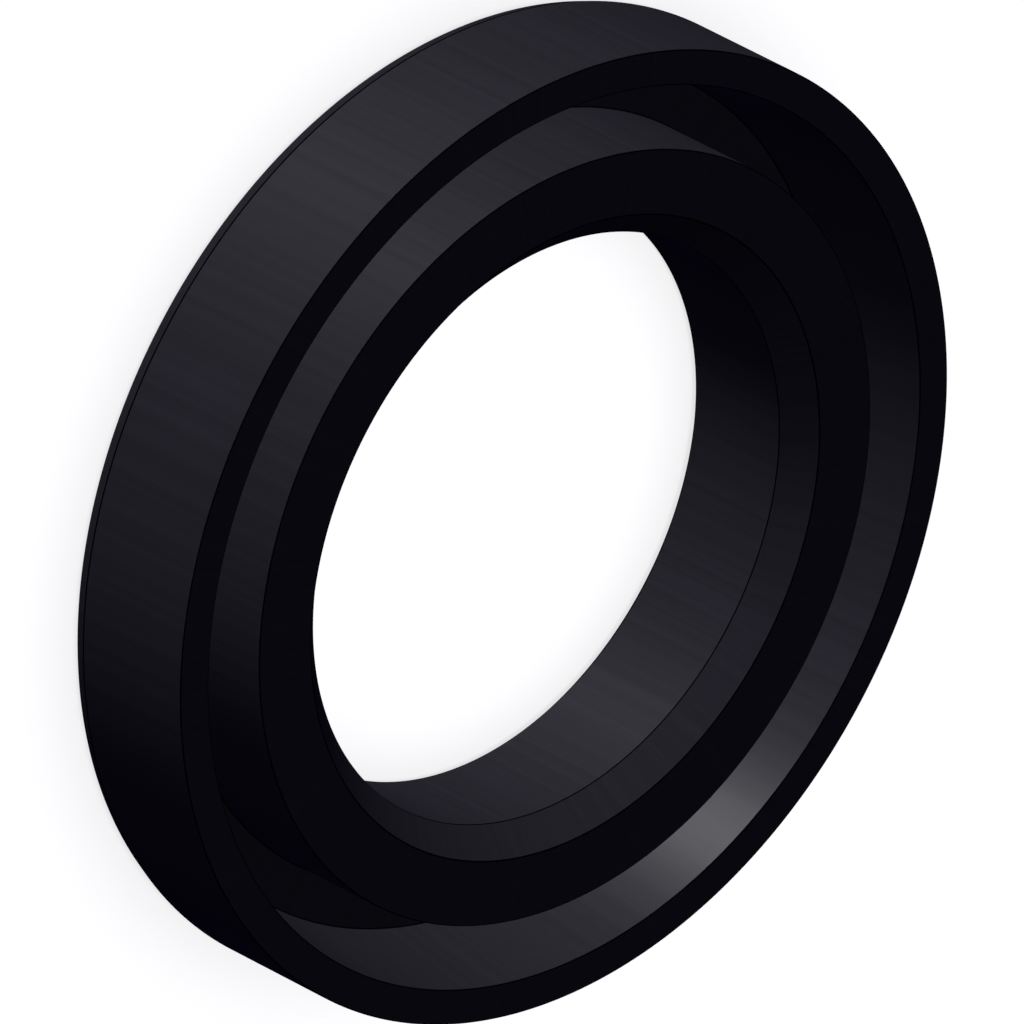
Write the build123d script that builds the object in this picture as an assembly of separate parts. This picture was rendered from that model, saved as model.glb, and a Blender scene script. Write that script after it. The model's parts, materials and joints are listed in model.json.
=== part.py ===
from build123d import *
import os

# A shaft seal moulded in one piece from black rubber, turned about the Z axis.
# It lies on its flat back face at Z = 0, with its open groove facing up.
# The outer rim presses into a housing, the thick inner hub grips the shaft, and a thin web joins
# the two at the back, so that pressure in the groove between them spreads them apart.
# All lengths are in millimetres. Radial sizes add up from the shaft outwards.

# Bore, smaller than the shaft so that the rubber grips it
shaft_diameter = 40.0
shaft_squeeze = 0.25         # radial
front_bore_chamfer = 1.8     # at 45 degrees, opens the bore towards the front face
back_bore_chamfer = 0.45     # at 45 degrees, opens the bore towards the back face

# Walls and groove, in order from the bore outwards
hub_wall = 6.15
groove_mouth_width = 4.25
groove_floor_width = 3.05    # under the mouth's width: the rim's inner wall leans in towards the floor
rim_wall = 2.35              # at the front face

# Along the axis
seal_width = 10.0
web_thickness = 2.25         # under the groove's floor

# Lead-in that centres the rim as it enters its housing
lead_in_length = 0.95        # along the axis
lead_in_depth = 0.35         # radial

# Radii of the section's corners
edge_round = 0.06            # edges of the front and back faces
floor_round = 0.08           # both corners of the groove's floor
crisp = 0.0                  # edges that seal on the shaft or start the lead-in

bore_radius = shaft_diameter / 2 - shaft_squeeze
hub_radius = bore_radius + hub_wall
rim_inner_radius = hub_radius + groove_mouth_width
groove_foot_radius = hub_radius + groove_floor_width
outer_radius = rim_inner_radius + rim_wall

# The section's corners as radius, height and rounding: along the back face, up the outside,
# down into the groove and out again, then over the hub and down the bore
section_corners = [
    (bore_radius + back_bore_chamfer, 0, edge_round),
    (outer_radius - lead_in_depth, 0, edge_round),
    (outer_radius, lead_in_length, crisp),
    (outer_radius, seal_width, edge_round),
    (rim_inner_radius, seal_width, edge_round),
    (groove_foot_radius, web_thickness, floor_round),
    (hub_radius, web_thickness, floor_round),
    (hub_radius, seal_width, edge_round),
    (bore_radius + front_bore_chamfer, seal_width, edge_round),
    (bore_radius, seal_width - front_bore_chamfer, crisp),
    (bore_radius, back_bore_chamfer, crisp),
]


def ring_section():
    """The ring's closed section, in the plane of the X and Z axes."""
    places = [(radius, height) for radius, height, rounding in section_corners]
    roundings = [rounding for radius, height, rounding in section_corners]
    with BuildSketch(Plane.XZ) as section:
        with BuildLine():
            FilletPolyline(*places, radius=roundings, close=True)
        make_face()
    return section.sketch


def seal_ring():
    """The whole seal: its section turned once about the Z axis."""
    return revolve(ring_section(), axis=Axis.Z)


os.makedirs("parts", exist_ok=True)
export_step(seal_ring(), "parts/seal_ring.step")
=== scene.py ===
import json
import math

import bmesh
import bpy
from mathutils import Matrix, Vector


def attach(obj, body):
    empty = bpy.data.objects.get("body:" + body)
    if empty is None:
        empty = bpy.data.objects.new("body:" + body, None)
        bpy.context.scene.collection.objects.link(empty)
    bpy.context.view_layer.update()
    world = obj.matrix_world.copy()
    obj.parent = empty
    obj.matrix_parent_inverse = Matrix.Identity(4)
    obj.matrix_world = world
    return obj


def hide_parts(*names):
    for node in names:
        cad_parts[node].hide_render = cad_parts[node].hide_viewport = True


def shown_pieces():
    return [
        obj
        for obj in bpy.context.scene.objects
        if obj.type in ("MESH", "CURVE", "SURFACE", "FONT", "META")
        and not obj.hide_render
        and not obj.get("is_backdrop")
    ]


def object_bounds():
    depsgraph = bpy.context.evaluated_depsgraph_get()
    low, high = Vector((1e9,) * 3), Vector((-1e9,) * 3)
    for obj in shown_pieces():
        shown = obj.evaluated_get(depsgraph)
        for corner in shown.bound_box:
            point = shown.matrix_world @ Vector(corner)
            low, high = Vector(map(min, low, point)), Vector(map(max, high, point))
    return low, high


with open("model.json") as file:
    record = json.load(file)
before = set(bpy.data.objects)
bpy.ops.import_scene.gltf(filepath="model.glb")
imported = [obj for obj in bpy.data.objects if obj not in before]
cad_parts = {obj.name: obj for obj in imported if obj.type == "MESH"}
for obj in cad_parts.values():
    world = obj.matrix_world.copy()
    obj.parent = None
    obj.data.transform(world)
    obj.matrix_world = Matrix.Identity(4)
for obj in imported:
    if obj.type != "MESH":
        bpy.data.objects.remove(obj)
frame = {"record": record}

bl_info = {
    "name": "Shaft Seal",
    "version": (1, 0, 0),
    "blender": (4, 5, 0),
    "location": "View3D > Sidebar > Shaft Seal",
    "description": "Models a shaft seal moulded in one piece of black rubber, and a plain studio for it",
    "category": "Add Mesh",
}

# The overall size and the bore come from the frame
cad_low, cad_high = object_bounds()
shaft_bore = next(mount for mount in frame["record"]["mounts"] if mount["name"] == "shaft_bore")
millimetre = 0.001  # metres

# Finding and shaping the mesh's parts
same_place = 1e-6  # metres, for finding a corner again
level = 0.99999  # least vertical part of a level face's normal
round_profile = 0.5  # makes a bevel part of a circle
rubber_slot = 0
trimmed_edge_slot = 1

# Most of a noise texture's values lie between these two
noise_low = 0.3
noise_high = 0.7

# The stage
white = (1, 1, 1)
backdrop_strength = 1  # white to the camera
full_light = math.pi  # strength of a lamp straight above, under which a matt white floor is just white
floor_size = 4  # metres, far beyond the picture's borders
floor_gap = 0.02 * millimetre  # under the seal's back face, so that the two never coincide
sensor_width = 36  # millimetres
camera_reach = 10  # metres


class SealShape(bpy.types.PropertyGroup):
    """Sizes of the seal's section and the fineness of its mesh."""

    outer_radius: bpy.props.FloatProperty(
        name="Outer radius",
        description="Radius of the rim, which presses into the housing",
        default=cad_high.x,
        unit="LENGTH",
    )
    seal_width: bpy.props.FloatProperty(
        name="Width",
        description="Width of the seal along the shaft",
        default=cad_high.z,
        unit="LENGTH",
    )
    bore_radius: bpy.props.FloatProperty(
        name="Bore radius",
        description="Radius of the bore, which grips the shaft",
        default=shaft_bore["dims"]["r_mm"] * millimetre,
        unit="LENGTH",
    )
    hub_wall: bpy.props.FloatProperty(
        name="Hub wall",
        description="Thickness of the hub between the bore and the groove",
        default=6.15 * millimetre,
        unit="LENGTH",
    )
    rim_wall: bpy.props.FloatProperty(
        name="Rim wall",
        description="Thickness of the rim at the front face",
        default=2.35 * millimetre,
        unit="LENGTH",
    )
    groove_floor_width: bpy.props.FloatProperty(
        name="Groove floor width",
        description="Width of the groove's floor, between the hub and the foot of the rim's leaning wall",
        default=3.05 * millimetre,
        unit="LENGTH",
    )
    web_thickness: bpy.props.FloatProperty(
        name="Web thickness",
        description="Thickness of the rubber under the groove's floor",
        default=2.25 * millimetre,
        unit="LENGTH",
    )
    front_bore_chamfer: bpy.props.FloatProperty(
        name="Front bore chamfer",
        description="Chamfer at 45 degrees from the bore to the front face",
        default=1.8 * millimetre,
        unit="LENGTH",
    )
    back_bore_chamfer: bpy.props.FloatProperty(
        name="Back bore chamfer",
        description="Chamfer at 45 degrees from the bore to the back face",
        default=0.45 * millimetre,
        unit="LENGTH",
    )
    lead_in_length: bpy.props.FloatProperty(
        name="Lead-in length",
        description="Length of the rim's lead-in along the shaft",
        default=0.95 * millimetre,
        unit="LENGTH",
    )
    lead_in_depth: bpy.props.FloatProperty(
        name="Lead-in depth",
        description="Radial depth of the rim's lead-in",
        default=0.35 * millimetre,
        unit="LENGTH",
    )
    edge_round: bpy.props.FloatProperty(
        name="Edge round",
        description="Radius of the edges of the front and back faces",
        default=0.06 * millimetre,
        unit="LENGTH",
    )
    least_edge_width: bpy.props.FloatProperty(
        name="Least edge width",
        description="Width that the small rounding of even a crisp moulded edge has",
        default=0.1 * millimetre,
        unit="LENGTH",
    )
    parting_line_width: bpy.props.FloatProperty(
        name="Parting line width",
        description="Width of the trimmed line where the mould's halves meet, at the start of the lead-in",
        default=0.16 * millimetre,
        unit="LENGTH",
    )
    trimmed_border: bpy.props.FloatProperty(
        name="Trimmed border",
        description="Width of the narrow border on the front faces, beside their rounded edges",
        default=0.022 * millimetre,
        unit="LENGTH",
    )
    floor_round: bpy.props.FloatProperty(
        name="Floor round",
        description="Radius of both corners of the groove's floor",
        default=0.08 * millimetre,
        unit="LENGTH",
    )
    turn_steps: bpy.props.IntProperty(
        name="Steps round the axis",
        description="Number of mesh faces in one turn about the shaft",
        default=360,
        min=24,
    )
    rounding_steps: bpy.props.IntProperty(
        name="Steps across a rounding",
        description="Number of mesh faces across each rounded corner of the section",
        default=8,
        min=1,
    )


class RubberFinish(bpy.types.PropertyGroup):
    """Colours, gloss and grain of the rubber."""

    # Where the streaks make these colours lighter or darker, that is painted shade; the clouds are the
    # rubber's own tone
    dark_colour: bpy.props.FloatVectorProperty(
        name="Dark colour",
        description="Black rubber where its streaks and clouds are darkest",
        subtype="COLOR",
        size=3,
        default=(0.0204, 0.0198, 0.024),
    )
    pale_colour: bpy.props.FloatVectorProperty(
        name="Pale colour",
        description="Black rubber where its streaks and clouds are palest",
        subtype="COLOR",
        size=3,
        default=(0.0246, 0.0239, 0.029),
    )
    edge_colour: bpy.props.FloatVectorProperty(
        name="Edge colour",
        description="Matt black of the narrow edges, where the mould's parts meet and the flash is trimmed",
        subtype="COLOR",
        size=3,
        default=(0.001, 0.001, 0.0015),
    )
    smooth_roughness: bpy.props.FloatProperty(
        name="Smooth roughness",
        description="Roughness where the moulded surface is smoothest",
        default=0.353,
        min=0.0,
        max=1.0,
        subtype="FACTOR",
    )
    dull_roughness: bpy.props.FloatProperty(
        name="Dull roughness",
        description="Roughness where the moulded surface is dullest",
        default=0.371,
        min=0.0,
        max=1.0,
        subtype="FACTOR",
    )
    edge_roughness: bpy.props.FloatProperty(
        name="Edge roughness",
        description="Roughness of the trimmed edges",
        default=0.8,
        min=0.0,
        max=1.0,
        subtype="FACTOR",
    )
    specular_level: bpy.props.FloatProperty(
        name="Specular level",
        description="Strength of the rubber's sheen",
        default=0.36,
        min=0.0,
        max=1.0,
        subtype="FACTOR",
    )
    edge_specular_level: bpy.props.FloatProperty(
        name="Edge specular level",
        description="Strength of the trimmed edges' sheen",
        default=0.03,
        min=0.0,
        max=1.0,
        subtype="FACTOR",
    )
    # The streaks are painted shade bands in the rubber's colour, and uneven gloss in its roughness
    streak_width: bpy.props.FloatProperty(
        name="Streak width",
        description="Width of the faint streaks along the shaft, as an angle round it",
        default=0.018,
        subtype="ANGLE",
    )
    streak_share: bpy.props.FloatProperty(
        name="Streak share",
        description="Share of the streaks in the uneven colour and gloss; the rest is clouds",
        default=0.8,
        min=0.0,
        max=1.0,
        subtype="FACTOR",
    )
    cloud_size: bpy.props.FloatProperty(
        name="Cloud size",
        description="Size of the faint clouds in the rubber's colour and gloss",
        default=6 * millimetre,
        unit="LENGTH",
    )
    grain_size: bpy.props.FloatProperty(
        name="Grain size",
        description="Size of the rubber's fine grain",
        default=0.2 * millimetre,
        unit="LENGTH",
    )
    grain_depth: bpy.props.FloatProperty(
        name="Grain depth",
        description="Depth of the rubber's fine grain",
        default=0.002 * millimetre,
        unit="LENGTH",
    )
    tool_line_spacing: bpy.props.FloatProperty(
        name="Tool line spacing",
        description="Distance between the faint rings that the turned mould leaves",
        default=0.15 * millimetre,
        unit="LENGTH",
    )
    tool_line_depth: bpy.props.FloatProperty(
        name="Tool line depth",
        description="Depth of those faint rings",
        default=0.0005 * millimetre,
        unit="LENGTH",
    )


class SealStudio(bpy.types.PropertyGroup):
    """Strengths and colours of the studio's light, and the camera's lens and place."""

    key_strength: bpy.props.FloatProperty(
        name="Key strength",
        description="Strength of the main lamp",
        default=2.7,
        min=0.0,
    )
    fill_strength: bpy.props.FloatProperty(
        name="Fill strength",
        description="Strength of the softer lamp near the camera's side",
        default=0.69,
        min=0.0,
    )
    overhead_strength: bpy.props.FloatProperty(
        name="Overhead strength",
        description="Strength of the broad lamp straight above the seal",
        default=0.16,
        min=0.0,
    )
    back_strength: bpy.props.FloatProperty(
        name="Back strength",
        description="Strength of the lamp behind the seal",
        default=1.7,
        min=0.0,
    )
    ambient_strength: bpy.props.FloatProperty(
        name="Ambient strength",
        description="Strength of the dim light from all round",
        default=0.0175,
        min=0.0,
    )
    bounce_strength: bpy.props.FloatProperty(
        name="Bounce strength",
        description="Strength of the light that the floor gives the seal",
        default=0.0108,
        min=0.0,
    )
    lamp_colour: bpy.props.FloatVectorProperty(
        name="Lamp colour",
        description="Cool white of every lamp but the fill lamp",
        subtype="COLOR",
        size=3,
        default=(0.955, 0.948, 1),
    )
    fill_colour: bpy.props.FloatVectorProperty(
        name="Fill colour",
        description="Colour of the fill lamp, like light from a clear sky",
        subtype="COLOR",
        size=3,
        default=(0.75, 0.68, 1),
    )
    shade_colour: bpy.props.FloatVectorProperty(
        name="Shade colour",
        description="Colour of the dim light from all round and from the floor",
        subtype="COLOR",
        size=3,
        default=(0.38, 0.22, 1),
    )
    floor_glow: bpy.props.FloatProperty(
        name="Floor glow",
        description="Share of the floor's white that the seal's shadow doesn't darken",
        default=0.75,
        min=0.0,
        max=1.0,
        subtype="FACTOR",
    )
    view_azimuth: bpy.props.FloatProperty(
        name="View azimuth",
        description="Turn of the camera round the seal, from -Y towards +X",
        default=math.radians(-48),
        subtype="ANGLE",
    )
    view_elevation: bpy.props.FloatProperty(
        name="View elevation",
        description="Height of the camera above the seal's plane",
        default=math.radians(40.911),
        subtype="ANGLE",
    )
    view_roll: bpy.props.FloatProperty(
        name="View roll",
        description="Turn of the camera about its own line of sight",
        default=math.radians(116.963),
        subtype="ANGLE",
    )
    camera_distance: bpy.props.FloatProperty(
        name="Camera distance",
        description="Distance from which the seal fills the picture",
        default=2.8513,
        unit="LENGTH",
    )
    lens_length: bpy.props.FloatProperty(
        name="Lens length",
        description="Focal length of the camera's lens",
        default=1600,
        unit="CAMERA",
    )
    aim_height: bpy.props.FloatProperty(
        name="Aim height",
        description="Height of the point at which the camera looks",
        default=4.979 * millimetre,
        unit="LENGTH",
    )
    aim_side: bpy.props.FloatProperty(
        name="Aim to the side",
        description="Distance of that point from the axis, to the right of the camera before its roll",
        default=0.065 * millimetre,
        unit="LENGTH",
    )


def corner(radius, height, rounding, least_width):
    """One corner of the seal's section, with its rounding and the least width of its trimmed edge."""
    return {"radius": radius, "height": height, "rounding": rounding, "least_width": least_width}


def section_corners(shape):
    """The section's corners: along the back face, up the outside, down into the groove and out again,
    then over the hub and down the bore."""
    hub_radius = shape.bore_radius + shape.hub_wall
    rim_inner_radius = shape.outer_radius - shape.rim_wall
    groove_foot_radius = hub_radius + shape.groove_floor_width
    front = shape.seal_width
    edge = shape.edge_round
    least = shape.least_edge_width
    return [
        corner(shape.bore_radius + shape.back_bore_chamfer, 0, edge, least),
        corner(shape.outer_radius - shape.lead_in_depth, 0, edge, least),
        corner(shape.outer_radius, shape.lead_in_length, 0, shape.parting_line_width),
        corner(shape.outer_radius, front, edge, least),
        corner(rim_inner_radius, front, edge, least),
        corner(groove_foot_radius, shape.web_thickness, shape.floor_round, least),
        corner(hub_radius, shape.web_thickness, shape.floor_round, least),
        corner(hub_radius, front, edge, least),
        corner(shape.bore_radius + shape.front_bore_chamfer, front, edge, least),
        corner(shape.bore_radius, front - shape.front_bore_chamfer, 0, least),
        corner(shape.bore_radius, shape.back_bore_chamfer, 0, least),
    ]


def with_neighbours(corners):
    """Each corner with the one before it and the one after it."""
    return zip(corners[-1:] + corners[:-1], corners, corners[1:] + corners[:1])


def half_turn(before, here, after):
    """Half the angle that the section's outline turns at a corner."""
    arriving = Vector((here["radius"] - before["radius"], here["height"] - before["height"]))
    leaving = Vector((after["radius"] - here["radius"], after["height"] - here["height"]))
    return arriving.angle(leaving) / 2


def select_loops(mesh, corners):
    """Selects the edges that run round the axis through the corners, and nothing else."""
    edit = bmesh.from_edit_mesh(mesh)
    for face in edit.faces:
        face.select = False
    for edge in edit.edges:
        edge.select = any(
            all(
                abs(end.co.z - place["height"]) < same_place
                and abs(end.co.xy.length - place["radius"]) < same_place
                for end in edge.verts
            )
            for place in corners
        )
    edit.select_flush_mode()
    bmesh.update_edit_mesh(mesh)


def turn_section(shape):
    """Adds the back face's inner edge as a circle, and extrudes it from corner to corner of the section."""
    corners = section_corners(shape)
    start = corners[0]
    bpy.ops.object.select_all(action="DESELECT")
    bpy.ops.mesh.primitive_circle_add(
        vertices=shape.turn_steps,
        radius=start["radius"],
        fill_type="NOTHING",
        location=(0, 0, start["height"]),
    )
    ring = bpy.context.active_object
    bpy.ops.object.mode_set(mode="EDIT")
    bpy.ops.mesh.select_mode(type="EDGE")
    bpy.ops.mesh.select_all(action="SELECT")
    for here, after in zip(corners, corners[1:]):
        growth = after["radius"] / here["radius"]
        bpy.ops.mesh.extrude_edges_move(
            TRANSFORM_OT_translate={"value": (0, 0, after["height"] - here["height"])}
        )
        bpy.ops.transform.resize(value=(growth, growth, 1), center_override=(0, 0, 0))
    select_loops(ring.data, [corners[-1], start])
    bpy.ops.mesh.bridge_edge_loops()
    return ring, corners


def round_corners(shape, ring, corners):
    """Rounds each corner of the section all the way round the ring, with the matt finish of a trimmed
    edge."""
    for before, here, after in with_neighbours(corners):
        reach = here["rounding"] * math.tan(half_turn(before, here, after))
        select_loops(ring.data, [here])
        bpy.ops.mesh.bevel(
            offset=max(reach, here["least_width"] / 2),
            offset_type="OFFSET",
            segments=shape.rounding_steps,
            profile=round_profile,
            affect="EDGES",
            material=trimmed_edge_slot,
        )


def select_front_faces(mesh, height):
    """Selects the flat faces at the front of the seal, and nothing else."""
    bpy.ops.mesh.select_mode(type="FACE")
    edit = bmesh.from_edit_mesh(mesh)
    for face in edit.faces:
        middle = face.calc_center_median()
        face.select = abs(face.normal.z) > level and abs(middle.z - height) < same_place
    edit.select_flush_mode()
    bmesh.update_edit_mesh(mesh)


def border_front_faces(shape, ring):
    """Gives both front faces a narrow matt border beside their rounded edges, where the flash was
    trimmed."""
    select_front_faces(ring.data, shape.seal_width)
    ring.active_material_index = trimmed_edge_slot
    bpy.ops.object.material_slot_assign()
    bpy.ops.mesh.inset(thickness=shape.trimmed_border)
    ring.active_material_index = rubber_slot
    bpy.ops.object.material_slot_assign()


def weight_normals(ring):
    """Keeps the broad faces flat to the eye right up to their rounded edges."""
    bpy.ops.object.shade_smooth()
    weighted = ring.modifiers.new("weighted_normals", "WEIGHTED_NORMAL")
    weighted.mode = "FACE_AREA"
    bpy.ops.object.modifier_apply(modifier=weighted.name)


class SEAL_OT_mould_ring(bpy.types.Operator):
    """Model the seal's ring from its section and give it its rubber"""

    bl_idname = "seal.mould_ring"
    bl_label = "Mould Seal Ring"

    def execute(self, context):
        shape = context.scene.seal_shape
        finish = context.scene.seal_finish
        ring, corners = turn_section(shape)
        ring.data.materials.append(black_rubber(finish))
        ring.data.materials.append(trimmed_edge(finish))
        round_corners(shape, ring, corners)
        border_front_faces(shape, ring)
        bpy.ops.mesh.select_all(action="SELECT")
        bpy.ops.mesh.normals_make_consistent(inside=False)
        bpy.ops.object.mode_set(mode="OBJECT")
        weight_normals(ring)
        ring.name = "moulded_ring"
        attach(ring, "root")
        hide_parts("seal_ring")
        return {"FINISHED"}


def new_node(tree, kind, sockets=None, **settings):
    """A shader node with its settings, and with a link or a plain value for each socket that is given."""
    node = tree.nodes.new(kind)
    for name, value in settings.items():
        setattr(node, name, value)
    for name, value in (sockets or {}).items():
        if isinstance(value, bpy.types.NodeSocket):
            tree.links.new(value, node.inputs[name])
        else:
            node.inputs[name].default_value = value
    return node


def math_node(tree, operation, first, second):
    """One step of arithmetic on sockets and plain numbers."""
    return new_node(tree, "ShaderNodeMath", {0: first, 1: second}, operation=operation).outputs["Value"]


def weighted_sum(tree, first, first_weight, second, second_weight):
    """The sum of two sockets, each multiplied by its weight."""
    first_part = math_node(tree, "MULTIPLY", first, first_weight)
    second_part = math_node(tree, "MULTIPLY", second, second_weight)
    return math_node(tree, "ADD", first_part, second_part)


def noise_node(tree, place, feature_size, detail):
    """Noise from 0 to 1 whose features have about the given size, in the units of the place."""
    sockets = {"Vector": place, "Scale": 1 / feature_size, "Detail": detail}
    return new_node(tree, "ShaderNodeTexNoise", sockets).outputs["Fac"]


def range_node(tree, noise, low, high):
    """Spreads noise over a range from low to high."""
    ends = {"From Min": noise_low, "From Max": noise_high, "To Min": low, "To Max": high}
    return new_node(tree, "ShaderNodeMapRange", {"Value": noise, **ends}).outputs["Result"]


def relief(tree, shader, height):
    """Gives a surface a fine relief, with its height in metres."""
    bump = new_node(tree, "ShaderNodeBump", {"Strength": 1, "Distance": 1, "Height": height})
    tree.links.new(bump.outputs["Normal"], shader.inputs["Normal"])


def new_material(name, specular_level):
    """A new material, with its node tree, its shader and the socket for a point's place on the seal."""
    material = bpy.data.materials.new(name)
    material.use_nodes = True
    tree = material.node_tree
    shader = tree.nodes["Principled BSDF"]
    shader.inputs["Specular IOR Level"].default_value = specular_level
    place = new_node(tree, "ShaderNodeTexCoord").outputs["Object"]
    return material, tree, shader, place


def turned_places(tree, place):
    """A point's bearing round the axis, as a vector of length 1, and its place in the ring's section."""
    without_height = (1, 1, 0)
    flat = new_node(tree, "ShaderNodeVectorMath", {0: place, 1: without_height}, operation="MULTIPLY")
    outwards = flat.outputs["Vector"]
    bearing = new_node(tree, "ShaderNodeVectorMath", {0: outwards}, operation="NORMALIZE")
    distance = new_node(tree, "ShaderNodeVectorMath", {0: outwards}, operation="LENGTH")
    height = new_node(tree, "ShaderNodeSeparateXYZ", {0: place})
    section_axes = {"X": distance.outputs["Value"], "Y": height.outputs["Z"]}
    section_place = new_node(tree, "ShaderNodeCombineXYZ", section_axes)
    return bearing.outputs["Vector"], section_place.outputs["Vector"]


def black_rubber(finish):
    """Moulded black rubber: satin, slightly clouded, with a fine grain, faint streaks round the axis of
    painted shade in its colour and of uneven gloss, and faint rings from the turned mould."""
    material, tree, shader, place = new_material("black_rubber", finish.specular_level)
    bearing, section_place = turned_places(tree, place)
    clouds = noise_node(tree, place, finish.cloud_size, detail=3)
    # Streaks round the axis: painted shade bands in the colour, and uneven gloss in the roughness
    shade_and_gloss_streaks = noise_node(tree, bearing, finish.streak_width, detail=1)
    grain = noise_node(tree, place, finish.grain_size, detail=2)
    rings = noise_node(tree, section_place, finish.tool_line_spacing, detail=1)

    shading = weighted_sum(tree, clouds, 1 - finish.streak_share, shade_and_gloss_streaks, finish.streak_share)
    # Colour: the rubber's own clouded tone, mixed with the streaks' painted shade
    shades = {
        "Factor": range_node(tree, shading, 0, 1),
        "A": (*finish.dark_colour, 1),
        "B": (*finish.pale_colour, 1),
    }
    colour = new_node(tree, "ShaderNodeMix", shades, data_type="RGBA")
    tree.links.new(colour.outputs["Result"], shader.inputs["Base Color"])
    roughness = range_node(tree, shading, finish.smooth_roughness, finish.dull_roughness)
    tree.links.new(roughness, shader.inputs["Roughness"])

    relief(tree, shader, weighted_sum(tree, grain, finish.grain_depth, rings, finish.tool_line_depth))
    return material


def trimmed_edge(finish):
    """The narrow edges, matt and much darker, where the mould's parts meet and the flash is trimmed."""
    material, tree, shader, place = new_material("trimmed_edge", finish.edge_specular_level)
    shader.inputs["Base Color"].default_value = (*finish.edge_colour, 1)
    shader.inputs["Roughness"].default_value = finish.edge_roughness
    nicks = noise_node(tree, place, finish.grain_size, detail=2)
    relief(tree, shader, math_node(tree, "MULTIPLY", nicks, finish.grain_depth))
    return material


def towards(azimuth, elevation):
    """Direction from the seal, by its azimuth from -Y towards +X and its elevation above the floor, both
    in degrees."""
    turn = math.radians(azimuth)
    rise = math.radians(elevation)
    return Vector((math.sin(turn) * math.cos(rise), -math.cos(turn) * math.cos(rise), math.sin(rise)))


def far_lamp(name, direction, strength, colour, spread, shadow=False):
    """A soft lamp so far off that its light is even over the whole seal. Its spread is the width in degrees
    that it would have in the sky."""
    bpy.ops.object.light_add(type="SUN", rotation=direction.to_track_quat("Z", "Y").to_euler())
    lamp = bpy.context.active_object
    lamp.name = name
    lamp.data.energy = strength
    lamp.data.color = colour
    lamp.data.angle = math.radians(spread)
    lamp.data.use_shadow = shadow
    return lamp


def light_seal(studio):
    """Adds the lamps that light the seal. Only the one behind it has a shadow, so that the rim and the hub
    don't shade the groove's walls from the others."""
    key_side = towards(azimuth=-90, elevation=-8)
    fill_side = towards(azimuth=-58, elevation=15)
    above = towards(azimuth=0, elevation=90)
    behind = towards(azimuth=130, elevation=-7)
    far_lamp("key_lamp", key_side, studio.key_strength, studio.lamp_colour, spread=14)
    far_lamp("fill_lamp", fill_side, studio.fill_strength, studio.fill_colour, spread=20)
    far_lamp("overhead_lamp", above, studio.overhead_strength, studio.lamp_colour, spread=40)
    far_lamp("back_lamp", behind, studio.back_strength, studio.lamp_colour, spread=8, shadow=True)


def light_floor(studio, floor):
    """Adds the lamp that makes the seal's soft shadow, and lets it light the floor alone."""
    above = towards(azimuth=0, elevation=90)
    shadow_lamp = far_lamp("shadow_lamp", above, full_light, studio.lamp_colour, spread=60, shadow=True)
    lit_floor = bpy.data.collections.new("lit_floor")
    lit_floor.objects.link(floor)
    shadow_lamp.light_linking.receiver_collection = lit_floor


def glow_node(tree, kind, colour, strength):
    """Plain light of one colour, from a surface or from the world."""
    return new_node(tree, kind, {"Color": (*colour, 1), "Strength": strength}).outputs[0]


def mix_node(tree, share, first, second):
    """The first shader mixed with a share of the second."""
    return new_node(tree, "ShaderNodeMixShader", {0: share, 1: first, 2: second}).outputs[0]


def floor_white(studio):
    """White that only the camera sees, with a shadow on it. It can be seen through from below, and gives
    the seal only a trace of light. It is kept from glossy and transmission rays too, because black rubber
    would take a pale sheen from it, and the seal has no metal or glass to show it."""
    material = bpy.data.materials.new("floor_white")
    material.use_nodes = True
    tree = material.node_tree
    tree.nodes.clear()
    rays = new_node(tree, "ShaderNodeLightPath")
    sides = new_node(tree, "ShaderNodeNewGeometry")
    lit = new_node(tree, "ShaderNodeBsdfDiffuse", {"Color": (*white, 1)}).outputs[0]
    clear = new_node(tree, "ShaderNodeBsdfTransparent").outputs[0]
    glow = glow_node(tree, "ShaderNodeEmission", white, backdrop_strength)
    bounce = glow_node(tree, "ShaderNodeEmission", studio.shade_colour, studio.bounce_strength)
    seen = mix_node(tree, studio.floor_glow, lit, glow)
    from_above = mix_node(tree, rays.outputs["Is Camera Ray"], bounce, seen)
    surface = mix_node(tree, sides.outputs["Backfacing"], from_above, clear)
    new_node(tree, "ShaderNodeOutputMaterial", {"Surface": surface})
    return material


def add_floor(studio):
    """Floor just under the seal, which takes its shadow and casts none."""
    bpy.ops.mesh.primitive_plane_add(size=floor_size, location=(0, 0, -floor_gap))
    floor = bpy.context.active_object
    floor.name = "floor"
    floor.visible_shadow = False
    floor.data.materials.append(floor_white(studio))
    floor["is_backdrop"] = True
    return floor


def dim_world(studio):
    """White backdrop for the camera, as the floor has, and a dim cool light from all round for the seal."""
    world = bpy.data.worlds.new("studio")
    bpy.context.scene.world = world
    world.use_nodes = True
    tree = world.node_tree
    tree.nodes.clear()
    rays = new_node(tree, "ShaderNodeLightPath")
    ambient = glow_node(tree, "ShaderNodeBackground", studio.shade_colour, studio.ambient_strength)
    backdrop = glow_node(tree, "ShaderNodeBackground", white, backdrop_strength)
    surface = mix_node(tree, rays.outputs["Is Camera Ray"], ambient, backdrop)
    new_node(tree, "ShaderNodeOutputWorld", {"Surface": surface})


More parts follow.
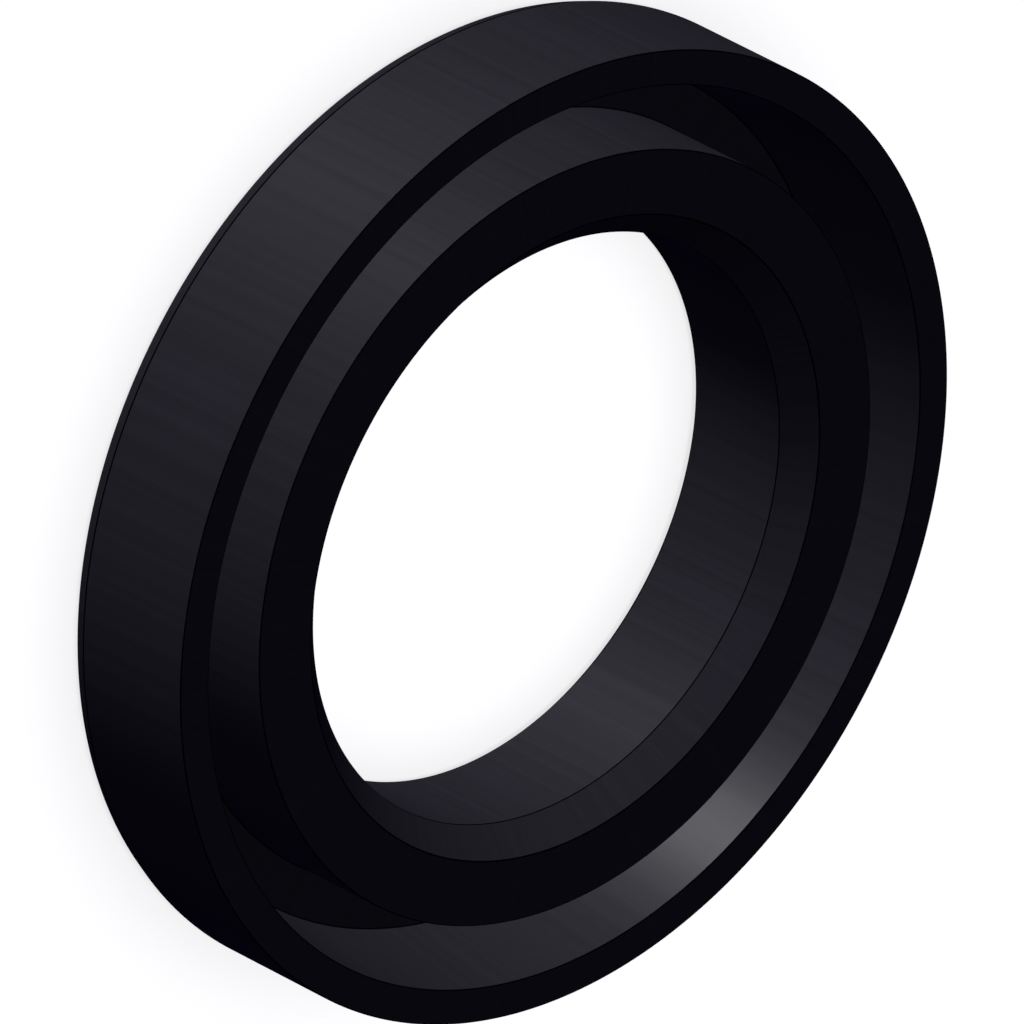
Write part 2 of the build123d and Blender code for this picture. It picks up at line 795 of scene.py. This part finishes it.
def long_camera(studio):
    """Camera with a lens so long that it sees the seal almost without perspective."""
    sight = towards(math.degrees(studio.view_azimuth), math.degrees(studio.view_elevation))
    side = Vector((-sight.y, sight.x, 0)).normalized()
    rise = sight.cross(side)
    roll = studio.view_roll
    right = math.cos(roll) * side + math.sin(roll) * rise
    up = math.cos(roll) * rise - math.sin(roll) * side
    turned = Matrix((right, up, sight)).transposed().to_4x4()
    aim = studio.aim_side * side + Vector((0, 0, studio.aim_height))
    bpy.ops.object.camera_add()
    camera = bpy.context.active_object
    camera.data.lens = studio.lens_length
    camera.data.sensor_width = sensor_width
    camera.data.clip_end = camera_reach
    camera.matrix_world = Matrix.Translation(aim + sight * studio.camera_distance) @ turned
    bpy.context.scene.camera = camera


class SEAL_OT_set_stage(bpy.types.Operator):
    """Set up the floor, the lamps and the camera"""

    bl_idname = "seal.set_stage"
    bl_label = "Set Stage"

    def execute(self, context):
        bpy.ops.object.select_all(action="DESELECT")
        studio = context.scene.seal_studio
        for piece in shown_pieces():
            piece.visible_glossy = False  # the sheen shows the lamps, and not the seal's own lit walls
        floor = add_floor(studio)
        light_seal(studio)
        light_floor(studio, floor)
        dim_world(studio)
        long_camera(studio)
        context.scene.view_settings.view_transform = "Standard"
        return {"FINISHED"}


class SEAL_PT_panel(bpy.types.Panel):
    """Sizes, finish and studio of the shaft seal."""

    bl_label = "Shaft Seal"
    bl_space_type = "VIEW_3D"
    bl_region_type = "UI"
    bl_category = "Shaft Seal"

    def draw(self, context):
        for settings in (context.scene.seal_shape, context.scene.seal_finish, context.scene.seal_studio):
            box = self.layout.box()
            for name in settings.__annotations__:
                box.prop(settings, name)
        self.layout.operator(SEAL_OT_mould_ring.bl_idname)
        self.layout.operator(SEAL_OT_set_stage.bl_idname)


classes = (SealShape, RubberFinish, SealStudio, SEAL_OT_mould_ring, SEAL_OT_set_stage, SEAL_PT_panel)


def register():
    """Makes the operators and the panel known to Blender, and gives the scene its settings."""
    for cls in classes:
        bpy.utils.register_class(cls)
    bpy.types.Scene.seal_shape = bpy.props.PointerProperty(type=SealShape)
    bpy.types.Scene.seal_finish = bpy.props.PointerProperty(type=RubberFinish)
    bpy.types.Scene.seal_studio = bpy.props.PointerProperty(type=SealStudio)


def unregister():
    """Takes away what register adds, in the opposite order."""
    del bpy.types.Scene.seal_studio
    del bpy.types.Scene.seal_finish
    del bpy.types.Scene.seal_shape
    for cls in reversed(classes):
        bpy.utils.unregister_class(cls)


def main():
    """Models the seal and its stage."""
    register()
    bpy.ops.seal.mould_ring()
    bpy.ops.seal.set_stage()


if __name__ == "__main__":
    main()
